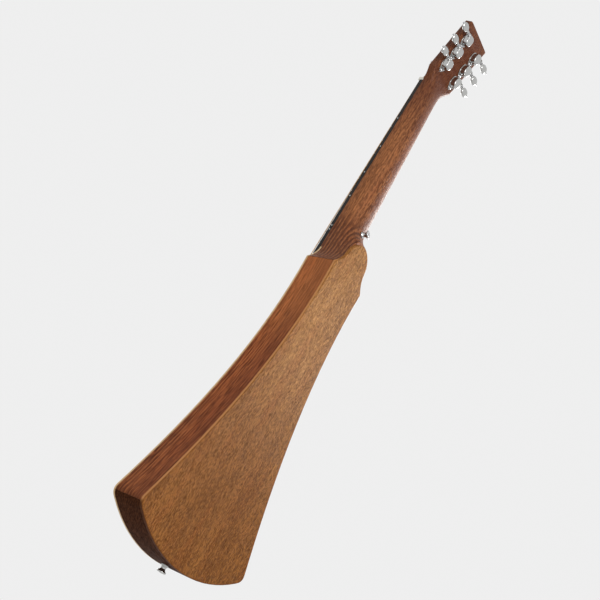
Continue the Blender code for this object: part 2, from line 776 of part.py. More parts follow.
def make_pins(paint):
    profile = ((0.0, 0.0046), (0.0026, 0.0041), (PIN_HEAD, 0.0026), (PIN_HEAD, 0.0016), (PIN_SHAFT, 0.0005),
               (PIN_SHAFT - 0.0003, -0.0123), (0.0, -0.0133))
    for number in range(1, 7):
        frame = Matrix.Translation((string_across(number, SADDLE_SPREAD), -GAP - BRIDGE_THICK, -PIN_DOWN))
        frame = frame @ Matrix.Rotation(math.pi / 2, 4, "X")
        turned(f"bridge_pin_{number}", profile, 8, paint, frame)


def make_bridge_plate(paint, pin_holes):
    front = TOP_THICK + GAP
    outline = [(PLATE_HALF, 0.610), (PLATE_HALF, 0.640), (-PLATE_HALF, 0.640), (-PLATE_HALF, 0.610)]
    combine(plate("bridge_plate", outline, front, front + PLATE_THICK, paint), pin_holes)


# Strings

def wind(number, side, along):
    """The turns of a string about its post, climbing towards the hole in the post."""
    _, radius, height = wind_start(number, side, along)
    pitch = 2 * STRING_RADII[number - 1] + WIND_CLEARANCE
    turns = WINDS if number > 3 else WINDS + 1
    points = []
    for i in range(round(turns * WIND_STEPS) + 1):
        turn = i / WIND_STEPS
        angle = 2 * math.pi * turn
        across = side * (POST_ACROSS - radius * math.cos(angle))
        points.append(HEAD @ Vector((across, along + radius * math.sin(angle), height + pitch * turn)))
    return points


def least_gap(points, radius, skip):
    """The least gap of a winding to itself, on points more than half a turn apart."""
    nearest = min((a - b).length for i, a in enumerate(points) for b in points[i + skip:])
    return nearest - 2 * radius


def make_string(number, side, along, paint):
    """A string from its ball under the bridge plate to its turns about the post."""
    radius = STRING_RADII[number - 1]
    name = f"string_{number}"
    turns = wind(number, side, along)
    under = TOP_THICK + GAP + PLATE_THICK
    ball = string_foot(number, under) + Vector((0.0, GAP + BALL_RADIUS, 0.0))
    bend = string_foot(number, -GAP - BRIDGE_THICK - 0.0002)
    route = rounded([ball, bend, saddle_spot(number), nut_exit(number), turns[0]], 0.0018) + turns[1:]
    print(name, "winding, least gap in mm:", round(1000 * least_gap(turns, radius, WIND_STEPS // 2), 2))
    line = smooth(tube(name, route, radius, 1, paint), 50)
    reach = Vector((0.0016, 0.0, 0.0))
    combine(line, rod(name + "_ball", ball - reach, ball + reach, BALL_RADIUS, 8), "UNION")
    return line


# Tuning machines, each in the headstock's frame with its origin on the post's axis

def tuner_place(side, along):
    return HEAD @ Matrix.Translation((side * POST_ACROSS, along, 0.0))


def make_housing(name, side, frame, paint):
    """A cover over the gear, with its worm barrel, fixing screw, and the threaded collar through
    the headstock that ends in a washer and a rim on the front."""
    face, bore = HEAD_THICK + GAP, POST_RADIUS + GAP
    room, roof, floor = COVER_RADIUS - 0.0014, 0.0008 - COVER_HEIGHT, -0.0016
    rim, washer = 0.0053, 0.0066
    cover = ((0.0, roof), (room, roof), (room, floor), (bore, floor), (bore, face + 0.0026),
             (rim - 0.0004, face + 0.0026), (rim, face + 0.0007), (washer, face + 0.0007), (washer, face),
             (COLLAR_RADIUS, face), (COLLAR_RADIUS, -GAP), (COVER_RADIUS, -GAP),
             (COVER_RADIUS, 0.0012 - COVER_HEIGHT), (COVER_RADIUS - 0.0012, -COVER_HEIGHT),
             (0.0, -COVER_HEIGHT))
    housing = turned(name, cover, 12, paint, frame)

    inner, outer = -0.0066 * side, 0.0079 * side
    low_x, high_x = sorted((inner * 0.98, outer * 0.98))
    axis, half = (WORM_OFFSET, -WORM_HEIGHT), BARREL_RADIUS * 0.97
    barrel = rod(name + "_barrel", (inner, *axis), (outer, *axis), BARREL_RADIUS, 10, None, frame)
    foot = box(name + "_foot", (low_x, WORM_OFFSET - half, -WORM_HEIGHT),
               (high_x, WORM_OFFSET + half, -0.0004), None, frame)
    tab = rod(name + "_tab", (0.0, -TAB_ALONG, -0.0016), (0.0, -TAB_ALONG, -0.0004), 0.0030, 8, None, frame)
    arm = box(name + "_arm", (-0.0026, -TAB_ALONG, -0.0015), (0.0026, -room - 0.0004, -0.0005), None, frame)
    turn = frame @ Matrix.Translation((0.0, -TAB_ALONG, 0.0)) @ Matrix.Rotation(math.pi, 4, "X")
    screw = ((0.0, 0.0032), (0.0021, 0.0023), (0.0021, 0.0012), (0.0010, 0.0010), (0.0010, -0.0078),
             (0.0, -0.0086))
    for shape in (barrel, foot, tab, arm, turned(name + "_screw", screw, 6, None, turn)):
        combine(housing, shape, "UNION")

    more, hollow = 0.0001, room + 0.0001
    cavity = rod(name + "_cavity", (0.0, 0.0, roof - more), (0.0, 0.0, floor + more), hollow, 12, None, frame)
    chamber = rod(name + "_chamber", (-0.0054 * side, *axis), (0.0058 * side, *axis), 0.0032, 8, None, frame)
    mouth = rod(name + "_mouth", (0.004 * side, *axis), (0.010 * side, *axis), 0.0020, 6, None, frame)
    eye = rod(name + "_eye", (0.0, 0.0, -0.0030), (0.0, 0.0, face + 0.0040), bore + more, 12, None, frame)
    for shape in (cavity, chamber, mouth, eye):
        combine(housing, shape)
    return housing


def make_worm(name, side, frame, paint):
    """A right-hand worm on its shaft, which ends in the small screw that holds the button."""
    axis = frame @ Matrix.Translation((0.0, WORM_OFFSET, -WORM_HEIGHT))
    lead = math.pi * TOOTH
    pitch_radius = WORM_OFFSET - TOOTH * GEAR_TEETH / 2
    turns, steps = 2, 8
    thread = []
    for i in range(round(turns * steps) + 1):
        turn = i / steps - turns / 2
        angle = math.pi + 2 * math.pi * turn
        spot = Vector((lead * turn, pitch_radius * math.cos(angle), pitch_radius * math.sin(angle)))
        thread.append(axis @ spot)
    ridge = tube(name + "_thread", thread, THREAD_RADIUS, 0, None)
    neck, shank, head, end, tip = 0.0015, 0.0010, 0.0021, 0.0205, 0.0338
    profile = ((0.0, tip), (head, tip - 0.0004), (head, tip - 0.0009), (shank, tip - 0.0009),
               (shank, end), (neck, end - 0.0002), (neck, 0.0040), (WORM_CORE, 0.0038),
               (WORM_CORE, -0.0046), (0.0, -0.0046))
    shaft = turned(name + "_shaft", profile, 8, None, axis @ Matrix.Rotation(side * math.pi / 2, 4, "Y"))
    combine(shaft, ridge, "UNION")
    worm = gather(name, [shaft], paint)
    worm.data.transform(axis.inverted())
    worm.matrix_world = axis
    return smooth(worm)


def make_button(name, side, frame, paint):
    """An oval button with a short stem on each side, bored for the shaft and its screw."""
    axis = frame @ Matrix.Translation((0.0, WORM_OFFSET, -WORM_HEIGHT))
    shape = bmesh.new()
    bmesh.ops.create_uvsphere(shape, u_segments=10, v_segments=8, radius=1.0)
    bmesh.ops.transform(shape, verts=shape.verts, matrix=Matrix.Diagonal((*BUTTON_SIZE, 1.0)))
    bmesh.ops.translate(shape, verts=shape.verts, vec=(side * BUTTON_CENTRE, 0.0, 0.0))
    button = smooth(finish_shape(name, shape, paint))
    button.matrix_world = axis
    stem, end = (0.0136, 0.0180, 0.0026, "UNION"), (0.0290, 0.0326, 0.0021, "UNION")
    bore, screw_bore = (0.0130, 0.0208, 0.0018, "DIFFERENCE"), (0.0200, 0.0340, 0.0013, "DIFFERENCE")
    for low, high, radius, change in (stem, end, bore, screw_bore):
        piece = rod(name + "_stem", (low * side, 0.0, 0.0), (high * side, 0.0, 0.0), radius, 6, None, axis)
        combine(button, piece, change)
    return button


def make_gear(name, frame, paint):
    """A worm wheel with a gap between two teeth facing the worm."""
    pitch_radius = TOOTH * GEAR_TEETH / 2
    root, tip = pitch_radius - 1.15 * TOOTH, pitch_radius + 0.3 * TOOTH
    outline = []
    for tooth in range(GEAR_TEETH):
        middle = math.pi / 2 + 2 * math.pi * (tooth + 0.5) / GEAR_TEETH
        for radius, wide in ((root, -0.36), (tip, -0.20), (tip, 0.20), (root, 0.36)):
            angle = middle + wide * math.pi * TOOTH / 2 / radius
            outline.append((radius * math.cos(angle), radius * math.sin(angle)))
    wheel = loft(name + "_wheel", [[(x, y, z) for x, y in outline] for z in GEAR_FACES], None)
    wheel.matrix_world = frame
    combine(wheel, rod(name + "_eye", (0.0, 0.0, -0.012), (0.0, 0.0, 0.0), GEAR_EYE, 6, None, frame))
    gear = gather(name, [wheel], paint)
    gear.data.transform(frame.inverted())
    gear.matrix_world = frame
    return gear


def make_post(name, frame, paint):
    """A string post, whose foot carries the gear and ends in the head that holds it on."""
    top, waist = HEAD_THICK + POST_TOP, POST_RADIUS - 0.0004
    profile = ((0.0, top), (POST_RADIUS - 0.0006, top), (POST_RADIUS, top - 0.0006), (waist, top - 0.0052),
               (waist, top - 0.0080), (POST_RADIUS, top - 0.0092), (POST_RADIUS, GEAR_FACES[1] + GAP),
               (PIVOT_RADIUS, GEAR_FACES[1] + GAP), (PIVOT_RADIUS, GEAR_FACES[0] - GAP),
               (0.0023, GEAR_FACES[0] - GAP), (0.0023, -0.0097), (0.0, -0.0097))
    post = turned(name, profile, 10, paint, frame)
    high = top - 0.0026
    hole = rod(name + "_hole", (0.0, -0.005, high), (0.0, 0.005, high), 0.0010, 4, None, frame)
    combine(post, hole)
    return post


def make_tuners(chrome, steel, brass):
    for number, side, along in post_spots():
        frame = tuner_place(side, along)
        make_housing(f"tuner_housing_{number}", side, frame, chrome)
        make_button(f"tuner_button_{number}", side, frame, chrome)
        make_worm(f"tuner_worm_{number}", side, frame, steel)
        make_gear(f"tuner_gear_{number}", frame, brass)
        make_post(f"tuner_post_{number}", frame, chrome)


# Strap buttons

def make_strap_buttons(chrome, steel):
    wide, waist, top = 0.0063, 0.0034, STRAP_LENGTH
    button = ((0.0034, top), (wide - 0.0004, top), (wide, top - 0.0004), (wide, top - 0.0016),
              (waist, top - 0.0040), (waist, 0.0022), (STRAP_FOOT, 0.0012), (STRAP_FOOT, 0.0),
              (STRAP_BORE, 0.0), (STRAP_BORE, top - 0.0020))
    shank = STRAP_BORE - GAP
    for end, frame, depth in (("heel", HEEL_STRAP, 0.0165), ("end", END_STRAP, 0.0115)):
        screw = ((0.0, top - 0.0004), (0.0027, top - 0.0004), (shank, top - 0.0019), (shank, 0.002 - depth),
                 (0.0, -depth))
        turned(end + "_strap_button", button, 20, chrome, frame)
        turned(end + "_strap_screw", screw, 8, steel, frame)


def main():
    mahogany = material("neck mahogany", (0.26, 0.105, 0.045), 0.45)
    side_wood = material("side mahogany", (0.20, 0.075, 0.035), 0.5)
    back_wood = material("back mahogany", (0.36, 0.19, 0.075), 0.5)
    spruce = material("spruce", (0.72, 0.53, 0.31), 0.5)
    ebony = material("dark fingerboard", (0.012, 0.010, 0.009), 0.4)
    bone = material("white nut and saddle", (0.80, 0.77, 0.68), 0.35)
    pearl = material("white pins", (0.78, 0.77, 0.72), 0.3)
    chrome = material("satin chrome", (0.62, 0.62, 0.62), 0.22, 1.0)
    steel = material("steel", (0.55, 0.55, 0.56), 0.3, 1.0)
    brass = material("brass", (0.65, 0.45, 0.18), 0.35, 1.0)

    make_neck(mahogany)
    make_walls(side_wood)
    make_back(back_wood)
    pin_holes = make_pin_holes()
    make_top(spruce, pin_holes)
    make_braces(spruce)
    make_rod(steel)
    make_board(ebony)
    make_nut(bone)
    make_saddle(bone)
    make_bridge(ebony, pin_holes)
    make_pins(pearl)
    make_bridge_plate(back_wood, pin_holes)
    for number, side, along in post_spots():
        make_string(number, side, along, brass if number > 3 else steel)
    make_tuners(chrome, steel, brass)
    make_strap_buttons(chrome, steel)


main()
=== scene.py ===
"""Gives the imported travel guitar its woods, metals and small parts, seen from behind its tail."""
import math

import bmesh
import bpy
from mathutils import Matrix, Vector


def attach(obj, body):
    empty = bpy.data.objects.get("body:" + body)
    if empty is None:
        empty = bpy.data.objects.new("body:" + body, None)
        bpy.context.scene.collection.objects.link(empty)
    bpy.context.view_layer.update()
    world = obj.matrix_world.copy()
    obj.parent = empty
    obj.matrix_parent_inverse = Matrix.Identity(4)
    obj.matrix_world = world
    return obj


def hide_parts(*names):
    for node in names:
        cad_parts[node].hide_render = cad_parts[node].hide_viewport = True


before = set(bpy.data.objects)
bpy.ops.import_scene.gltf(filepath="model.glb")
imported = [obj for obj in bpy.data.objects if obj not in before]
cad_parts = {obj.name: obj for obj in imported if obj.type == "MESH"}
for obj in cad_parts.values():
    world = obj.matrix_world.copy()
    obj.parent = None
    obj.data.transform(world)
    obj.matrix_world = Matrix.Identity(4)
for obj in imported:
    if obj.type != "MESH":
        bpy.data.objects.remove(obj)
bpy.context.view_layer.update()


# Camera
# It stands behind the guitar and a little below its tail, and looks up along the back. The focal
# length and the place come from the dots, corners and edges that can be found in the photograph.

sight = Vector((-0.683, -0.627, 0.374)).normalized()
level = Vector((-0.441, 0.763, 0.473))
level = (level - sight * level.dot(sight)).normalized()
camera = bpy.data.objects.new("camera", bpy.data.cameras.new("camera"))
camera.data.sensor_width = 36.0
camera.data.lens = 59.18
camera.data.clip_start = 0.02
camera.matrix_world = Matrix((level, level.cross(sight), -sight)).transposed().to_4x4()
camera.matrix_world.translation = (0.9350, 0.8522, -0.9184)
bpy.context.scene.collection.objects.link(camera)
bpy.context.scene.camera = camera
bpy.context.scene.view_settings.view_transform = "Standard"


# Studio
# A pale floor below the hanging guitar and a pale room around it. One wide soft lamp lights the
# back, a smaller one grazes the edges on the far side, and a third one lights the front.

class Wire:
    """A socket of a node tree. Arithmetic with it adds Math nodes, and node() adds any other."""

    def __init__(self, tree, socket=None):
        self.tree = tree
        self.socket = socket

    def node(self, kind, inputs, output=0, **settings):
        made = self.tree.nodes.new("ShaderNode" + kind)
        for name, value in settings.items():
            setattr(made, name, value)
        for key, value in inputs.items():
            if isinstance(value, Wire):
                self.tree.links.new(value.socket, made.inputs[key])
            else:
                made.inputs[key].default_value = value
        return Wire(self.tree, made.outputs[output] if made.outputs else None)

    def math(self, operation, first, second):
        return self.node("Math", {0: first, 1: second}, operation=operation)

    def __add__(self, other):
        return self.math("ADD", self, other)

    __radd__ = __add__

    def __sub__(self, other):
        return self.math("SUBTRACT", self, other)

    def __rsub__(self, other):
        return self.math("SUBTRACT", other, self)

    def __mul__(self, other):
        return self.math("MULTIPLY", self, other)

    __rmul__ = __mul__

    def part(self, axis):
        """One coordinate of a place: 0 for X, 1 for Y and 2 for Z."""
        return self.node("SeparateXYZ", {0: self}, axis)

    def higher(self, other):
        return self.math("MAXIMUM", self, other)

    def between(self, low, high):
        """0 below low, 1 above high and smooth in between."""
        return self.node("MapRange", {"Value": self, "From Min": low, "From Max": high},
                         interpolation_type="SMOOTHSTEP")

    def mix(self, first, second):
        """Two colours, with this value as the share of the second."""
        first, second = [(*c, 1.0) if isinstance(c, tuple) else c for c in (first, second)]
        return self.node("Mix", {0: self, 6: first, 7: second}, 2, data_type="RGBA")

    def noise(self, scale, detail=2.0, roughness=0.55):
        """Noise at this spot, with a scale for each axis, so that it can run along the grain."""
        spread = self.node("VectorMath", {0: self, 1: scale}, operation="MULTIPLY")
        return self.node("TexNoise", {"Vector": spread, "Scale": 1.0, "Detail": detail,
                                      "Roughness": roughness})


def finish(name):
    """A new material, and the Wire that gives each spot of its surface."""
    paint = bpy.data.materials.new(name)
    paint.use_nodes = True
    return paint, Wire(paint.node_tree).node("TexCoord", {}, "Object")


def shade(spot, colour, roughness=None, relief=None, depth=0.0001, **plain):
    """Feeds a material's shader with what varies, and sets its plain numbers by their names."""
    tree = spot.tree
    shader = tree.nodes["Principled BSDF"]
    sockets = {"Base Color": colour}
    if roughness:
        sockets["Roughness"] = roughness
    if relief:
        sockets["Normal"] = spot.node("Bump", {"Strength": 1.0, "Distance": depth, "Height": relief})
    sockets.update({key.replace("_", " "): value for key, value in plain.items()})
    for key, value in sockets.items():
        if isinstance(value, Wire):
            tree.links.new(value.socket, shader.inputs[key])
        else:
            shader.inputs[key].default_value = value


FLOOR = -1.0
FLOOR_RADIUS = 2.4
FADE_START = 0.7
FADE_END = 2.3
ROOM_TONE = (0.86, 0.86, 0.86, 1.0)
paint, spot = finish("studio floor")
shade(spot, spot.noise((3, 3, 3), 4).mix((0.50, 0.50, 0.49), (0.54, 0.54, 0.53)), 0.8)
solid = Wire(spot.tree, spot.tree.nodes["Principled BSDF"].outputs[0])
glow = spot.node("Emission", {"Color": ROOM_TONE})
lit = spot.node("MixShader", {0: spot.node("LightPath", {}, "Is Camera Ray") * 0.5, 1: solid, 2: glow})
rim = spot.node("VectorMath", {0: spot}, "Value", operation="LENGTH").between(FADE_START, FADE_END)
faded = spot.node("MixShader", {0: rim, 1: lit, 2: spot.node("BsdfTransparent", {})})
spot.tree.links.new(faded.socket, spot.tree.nodes["Material Output"].inputs[0])
ground = bmesh.new()
bmesh.ops.create_circle(ground, cap_ends=True, segments=96, radius=FLOOR_RADIUS)
mesh = bpy.data.meshes.new("floor")
ground.to_mesh(mesh)
mesh.materials.append(paint)
floor = bpy.data.objects.new("floor", mesh)
floor.location.z = FLOOR
bpy.context.scene.collection.objects.link(floor)

room = bpy.data.worlds.new("studio")
room.use_nodes = True
bpy.context.scene.world = room
room.node_tree.nodes.clear()
base = Wire(room.node_tree)
seen, mirrored, through = [base.node("LightPath", {}, kind) for kind in
                           ("Is Camera Ray", "Is Glossy Ray", "Is Transmission Ray")]
light = base.node("Background", {"Color": (0.98, 0.99, 1.0, 1.0), "Strength": 0.42})
pale = base.node("Background", {"Color": ROOM_TONE, "Strength": 1.0})
shown = seen.higher(mirrored).higher(through)
both = base.node("MixShader", {0: shown, 1: light, 2: pale})
base.node("OutputWorld", {"Surface": both})

# Each lamp's name, its direction and distance from the guitar's middle, its size and its power.
MIDDLE = Vector((0.0, 0.0, -0.40))
LAMPS = (("key lamp", (0.52, 0.84, 0.14), 1.35, 0.9, 10.5),
         ("edge lamp", (-0.90, 0.09, 0.42), 1.9, 0.7, 42.0),
         ("front lamp", (-0.40, -0.90, 0.20), 1.8, 1.0, 13.0))
for name, way, distance, size, power in LAMPS:
    lamp = bpy.data.objects.new(name, bpy.data.lights.new(name, "AREA"))
    lamp.data.shape = "DISK"
    lamp.data.size = size
    lamp.data.energy = power
    way = Vector(way).normalized()
    lamp.matrix_world = way.to_track_quat("Z", "Y").to_matrix().to_4x4()
    lamp.matrix_world.translation = MIDDLE + way * distance
    bpy.context.scene.collection.objects.link(lamp)


# Neck
# One piece of mahogany with the tilted headstock and the scooped heel, planed along the grain and
# rubbed with a thin satin lacquer. Its growth layers show as arcs where the heel cuts across them.

UNIT_WAVE = 0.314  # the scale at which a wave texture's bands lie one unit apart


def mahogany(name, pale, dark, red, streak, pore, layers, layer_share, gloss):
    """Mahogany with bands, streaks and open pores along the grain, and the arcs of its growth layers.

    Streak and pore are noise scales, which are small along the grain. Layers holds how many growth
    layers there are to the metre each way, and layer_share is how dark they get.
    """
    paint, spot = finish(name)
    bands = spot.noise(Vector(streak) * 0.09)
    streaks = spot.noise(streak, 3.0, 0.65)
    warm = spot.noise(Vector(streak) * 0.14 + Vector((3, 3, 3)), 1.0).between(0.45, 0.75)
    pores = spot.noise(pore, 2.0, 0.6).between(0.51, 0.57)
    flecks = spot.noise(Vector(pore) * 1.13 + Vector((7, 7, 7)), 2.0, 0.6).between(0.47, 0.38)
    warped = spot.node("VectorMath", {0: spot, 1: layers}, operation="MULTIPLY")
    rings = spot.node("TexWave", {"Vector": warped, "Scale": UNIT_WAVE, "Distortion": 2.2,
                                  "Detail": 2.0, "Detail Scale": 1.2}, "Fac", bands_direction="Y")
    shade_share = bands * 0.5 + streaks * 0.9 + rings * layer_share - (0.22 + layer_share / 2)
    wood = shade_share.between(0.15, 0.85).mix(pale, dark)
    wood = (warm * 0.4).mix(wood, red)
    slits = spot.noise(Vector(pore) * 3.3, 1.0).between(0.60, 0.66)
    wood = (flecks * 0.55).mix(wood, tuple(1.5 * c for c in pale))
    wood = (pores * 0.8).mix(wood, tuple(0.6 * c for c in dark))
    wood = (slits * 0.5).mix(wood, tuple(0.4 * c for c in dark))
    satin = streaks * 0.12 + pores * 0.18 + 0.40
    relief = 1 - (pores * 0.5 + slits * 0.3 + streaks * 0.2)
    shade(spot, wood, satin, relief, 0.00018, Specular_IOR_Level=gloss)
    return paint, spot, wood


def dress(node, paint, angle=35):
    """Gives a CAD node its finish and shades its facets as one surface, up to a real edge."""
    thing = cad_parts[node]
    mesh = thing.data
    mesh.materials.clear()
    mesh.materials.append(paint)
    for name in ("custom_normal", "sharp_edge"):
        if name in mesh.attributes:
            mesh.attributes.remove(mesh.attributes[name])
    mesh.shade_smooth()
    thing.modifiers.new("weld", "WELD").merge_threshold = 0.000002
    edges = thing.modifiers.new("edges", "EDGE_SPLIT")
    edges.split_angle = math.radians(angle)
    edges.use_edge_sharp = False
    thing.modifiers.new("even", "WEIGHTED_NORMAL")


paint, spot, wood = mahogany("neck mahogany", pale=(0.34, 0.125, 0.044), dark=(0.135, 0.037, 0.013),
                             red=(0.30, 0.072, 0.022), streak=(400, 400, 24), pore=(560, 560, 110),
                             layers=(10, 330, 3), layer_share=0.40, gloss=0.20)

# The side of the neck beside the fingerboard gets painted light, and a stripe of painted shade runs down
# the middle. The heel is darker and shows its layers as wide arcs, and the headstock is darker too.
across = spot.part(0)
height = spot.part(2)
painted_light_flank = across.between(0.004, 0.017) * height.between(-0.02, -0.12) * height.between(-0.30, -0.25)
painted_shade_stripe = across.between(-0.016, -0.009) * (1 - across.between(-0.004, 0.006))
warped = spot.node("VectorMath", {0: spot, 1: (30.0, 170.0, 60.0)}, operation="MULTIPLY")
arcs = spot.node("TexWave", {"Vector": warped, "Scale": UNIT_WAVE, "Distortion": 1.3, "Detail": 1.0,
                             "Detail Scale": 0.7}, "Fac", bands_direction="Y").between(0.25, 0.8)
heel = height.between(-0.255, -0.290)
# Painted light: the side of the neck beside the fingerboard is mixed paler.
wood = (painted_light_flank * 0.20).mix(wood, (0.46, 0.180, 0.060))
# Painted shade: a darker stripe runs down the middle of the neck's back.
wood = (painted_shade_stripe * 0.5).mix(wood, (0.150, 0.038, 0.015))
wood = (heel * 0.3).mix(wood, (0.240, 0.075, 0.024))
wood = (heel * arcs * 0.75).mix(wood, (0.070, 0.019, 0.007))
shade(spot, (height.between(-0.13, 0.02) * 0.65).mix(wood, (0.095, 0.025, 0.010)))
dress("neck", paint)


# Sides and tail
# Two bent mahogany walls and the thick tail wall between them, glued at mitred corners. The grain
# of each follows the body's edge. The tail is darker, partly from its end grain and partly from painted
# shade.

paint, spot, wood = mahogany("side mahogany", pale=(0.47, 0.145, 0.045), dark=(0.130, 0.033, 0.011),
                             red=(0.50, 0.110, 0.026), streak=(6, 300, 6), pore=(45, 700, 45),
                             layers=(4, 230, 4), layer_share=0.35, gloss=0.10)

# The walls get darker from front to back and in the middle of their length, and painted shade darkens
# them at the tail's corners. They are lightest below the shoulder.
height = spot.part(2)
wood = (spot.part(1).between(0.010, 0.042) * 0.45).mix(wood, (0.115, 0.030, 0.014))
wood = (height.between(-0.53, -0.40) * 0.35).mix(wood, (0.52, 0.185, 0.060))
wood = (height.between(-0.46, -0.56) * 0.15).mix(wood, (0.115, 0.030, 0.014))
# Painted shade: at the tail's corners the walls blend into the tail's shaded colour.
shade(spot, (height.between(-0.757, -0.768) * 0.6).mix(wood, (0.110, 0.034, 0.014)))
dress("side_bass", paint, 25)
dress("side_treble", paint, 25)

# The tail's dark colours are partly its end grain and partly painted shade.
paint, spot, wood = mahogany("tail mahogany", pale=(0.095, 0.033, 0.014), dark=(0.036, 0.011, 0.005),
                             red=(0.08, 0.022, 0.009), streak=(10, 420, 300), pore=(60, 800, 600),
                             layers=(3, 260, 3), layer_share=0.30, gloss=0.01)
dress("tail_block", paint, 25)


# Back plate
# A flat plate of golden, open-pored mahogany, whose tongue runs up over the heel. It is glued to
# the walls, and its outer edge is rounded over.

BODY_DEPTH = 0.0509

back_wood, spot, wood = mahogany("back mahogany", pale=(0.54, 0.250, 0.070), dark=(0.225, 0.087, 0.020),
                                 red=(0.42, 0.140, 0.036), streak=(400, 400, 36), pore=(1250, 1250, 210),
                                 layers=(55, 10, 2), layer_share=0.12, gloss=0.06)

# The plate gets darker towards the tail, mostly as painted light falloff and partly from its own wood.
height = spot.part(2)
painted_falloff_and_tone = height.between(-0.42, -0.70).mix((1.0, 1.0, 1.0), (0.70, 0.60, 0.50))
wood = spot.node("Mix", {0: 1.0, 6: wood, 7: painted_falloff_and_tone}, 2, data_type="RGBA", blend_type="MULTIPLY")
# Its edge gets a painted highlight along the sides, and painted shade at the tail and on its rounding.
inward = BODY_DEPTH - spot.part(1)
edge = inward.between(0.0007, 0.0009)
rounded = inward.between(0.0001, 0.0002) * (1 - edge)
at_tail = height.between(-0.762, -0.770)
along_side = (1 - at_tail) * height.between(-0.350, -0.353)
# Painted highlight on the plate's edge wall along the sides.
wood = (edge * along_side * 0.8).mix(wood, (0.60, 0.270, 0.105))
# Painted shade on the plate's edge at the tail.
wood = (edge * at_tail * 0.85).mix(wood, (0.075, 0.024, 0.010))
# Painted shade: a thin dark line on the rounding of the plate's edge.
wood = (rounded * 0.35).mix(wood, (0.20, 0.065, 0.022))
shade(spot, wood)
dress("back_plate", back_wood, 50)
dress("bridge_plate", back_wood)


# Soundboard and its braces
# A thin spruce plate with fine straight grain. Three plain inlaid rings run round the sound hole,
# and the braces glued inside are of the same wood.

HOLE = (0.0, 0.0, -0.420)

paint, spot = finish("spruce top")
lines = spot.node("VectorMath", {0: spot, 1: (5200.0, 40.0, 8.0)}, operation="MULTIPLY")
lines = spot.node("TexWave", {"Vector": lines, "Scale": 0.05, "Distortion": 3.0, "Detail": 1.0,
                              "Detail Scale": 0.02}, "Fac", bands_direction="X").between(0.62, 1.0)
clouds = spot.noise((30, 30, 3))
silk = spot.noise((90, 90, 900), 1.0)
flat_spot = spot.node("VectorMath", {0: spot, 1: (1.0, 0.0, 1.0)}, operation="MULTIPLY")
reach = spot.node("VectorMath", {0: flat_spot, 1: HOLE}, "Value", operation="DISTANCE")
wood = (lines * 0.45).mix((0.72, 0.49, 0.25), (0.46, 0.25, 0.10))
wood = (clouds * 0.5).mix(wood, (0.66, 0.42, 0.20))
wood = (silk.between(0.5, 0.8) * 0.2).mix(wood, (0.82, 0.62, 0.36))


def ring(inner, outer):
    """1 between two distances from the middle of the sound hole."""
    soft = 0.0001
    return reach.between(inner - soft, inner + soft) * (1 - reach.between(outer - soft, outer + soft))


dark_rings = ring(0.0300, 0.0307).higher(ring(0.0335, 0.0350)).higher(ring(0.0378, 0.0385))
wood = ring(0.0307, 0.0378).mix(wood, (0.70, 0.60, 0.42))
wood = dark_rings.mix(wood, (0.035, 0.018, 0.012))
shade(spot, wood, lines * 0.08 + clouds * 0.1 + 0.32, 1 - lines, 0.00004)
spruce = paint
for node in ("soundboard", "soundboard_bracing", "back_bracing"):
    dress(node, spruce)


# Fingerboard, frets and dots
# A dark hardwood board with a curved face. Fifteen nickel-silver frets are pressed into it, and
# white dots are let into its face and, for the player, into its edge on the bass side.

GAP = 0.0003
SCALE = 0.6096
BOARD_LENGTH = 0.368
BOARD_THICK = 0.006
BOARD_RADIUS = 0.4064
FRETS = 15
FRET_HALF = 0.00115
FRET_HEIGHT = 0.00095


def board_half(down):
    """Half the fingerboard's width, which grows from the nut to the twelfth fret and beyond."""
    return 0.02145 + (0.0262 - 0.02145) * down / (SCALE / 2)


def board_face(across, down):
    """Depth of the fingerboard's curved face."""
    return -GAP - BOARD_THICK - (board_half(down) ** 2 - across ** 2) / (2 * BOARD_RADIUS)


def fret_down(number):
    """Distance of a fret below the nut."""
    return SCALE * (1 - 2 ** (-number / 12))


def skin(shape, rows, ring=False):
    """Skins rows of points in their order. A row of one point closes an end, others get a cap."""
    made = [[shape.verts.new(point) for point in row] for row in rows]
    if ring:
        made.append(made[0])
    else:
        for row in (made[0], made[-1]):
            if len(row) > 1:
                shape.faces.new(row)
    for near, far in zip(made, made[1:]):
        for i in range(max(len(near), len(far))):
            corners = (near[i % len(near)], near[(i + 1) % len(near)],
                       far[(i + 1) % len(far)], far[i % len(far)])
            shape.faces.new(list(dict.fromkeys(corners)))
    return shape


def turned(profile, sides=32, place=Matrix()):
    """Rows of points for a turned form, from (radius, height) pairs about a place's Z axis."""
    rows = []
    for radius, height in profile:
        count = sides if radius > 0 else 1
        turns = [2 * math.pi * i / count for i in range(count)]
        rows.append([place @ Vector((radius * math.cos(t), radius * math.sin(t), height)) for t in turns])
    return rows


def piece(name, shape, paint, body="guitar", place=Matrix(), node=None, angle=35):
    """Makes a rigid piece of a shape, and gives it its finish, its body and the node it stands for."""
    bmesh.ops.recalc_face_normals(shape, faces=shape.faces)
    mesh = bpy.data.meshes.new(name)
    shape.to_mesh(mesh)
    mesh.transform(place)
    mesh.materials.append(paint)
    mesh.shade_smooth()
    mesh.set_sharp_from_angle(angle=math.radians(angle))
    made = bpy.data.objects.new(name, mesh)
    bpy.context.scene.collection.objects.link(made)
    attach(made, body)
    if node:
        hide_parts(node)
    return made


paint, spot = finish("dark hardwood")
grain = spot.noise((420, 420, 14), 3.0)
pores = spot.noise((1300, 1300, 60), 1.0).between(0.56, 0.68)
wood = grain.between(0.35, 0.75).mix((0.010, 0.008, 0.007), (0.024, 0.016, 0.012))
wood = (pores * 0.6).mix(wood, (0.006, 0.005, 0.004))
shade(spot, wood, grain * 0.2 + 0.36, 1 - pores, 0.00008, Specular_IOR_Level=0.2)
dark_wood = paint

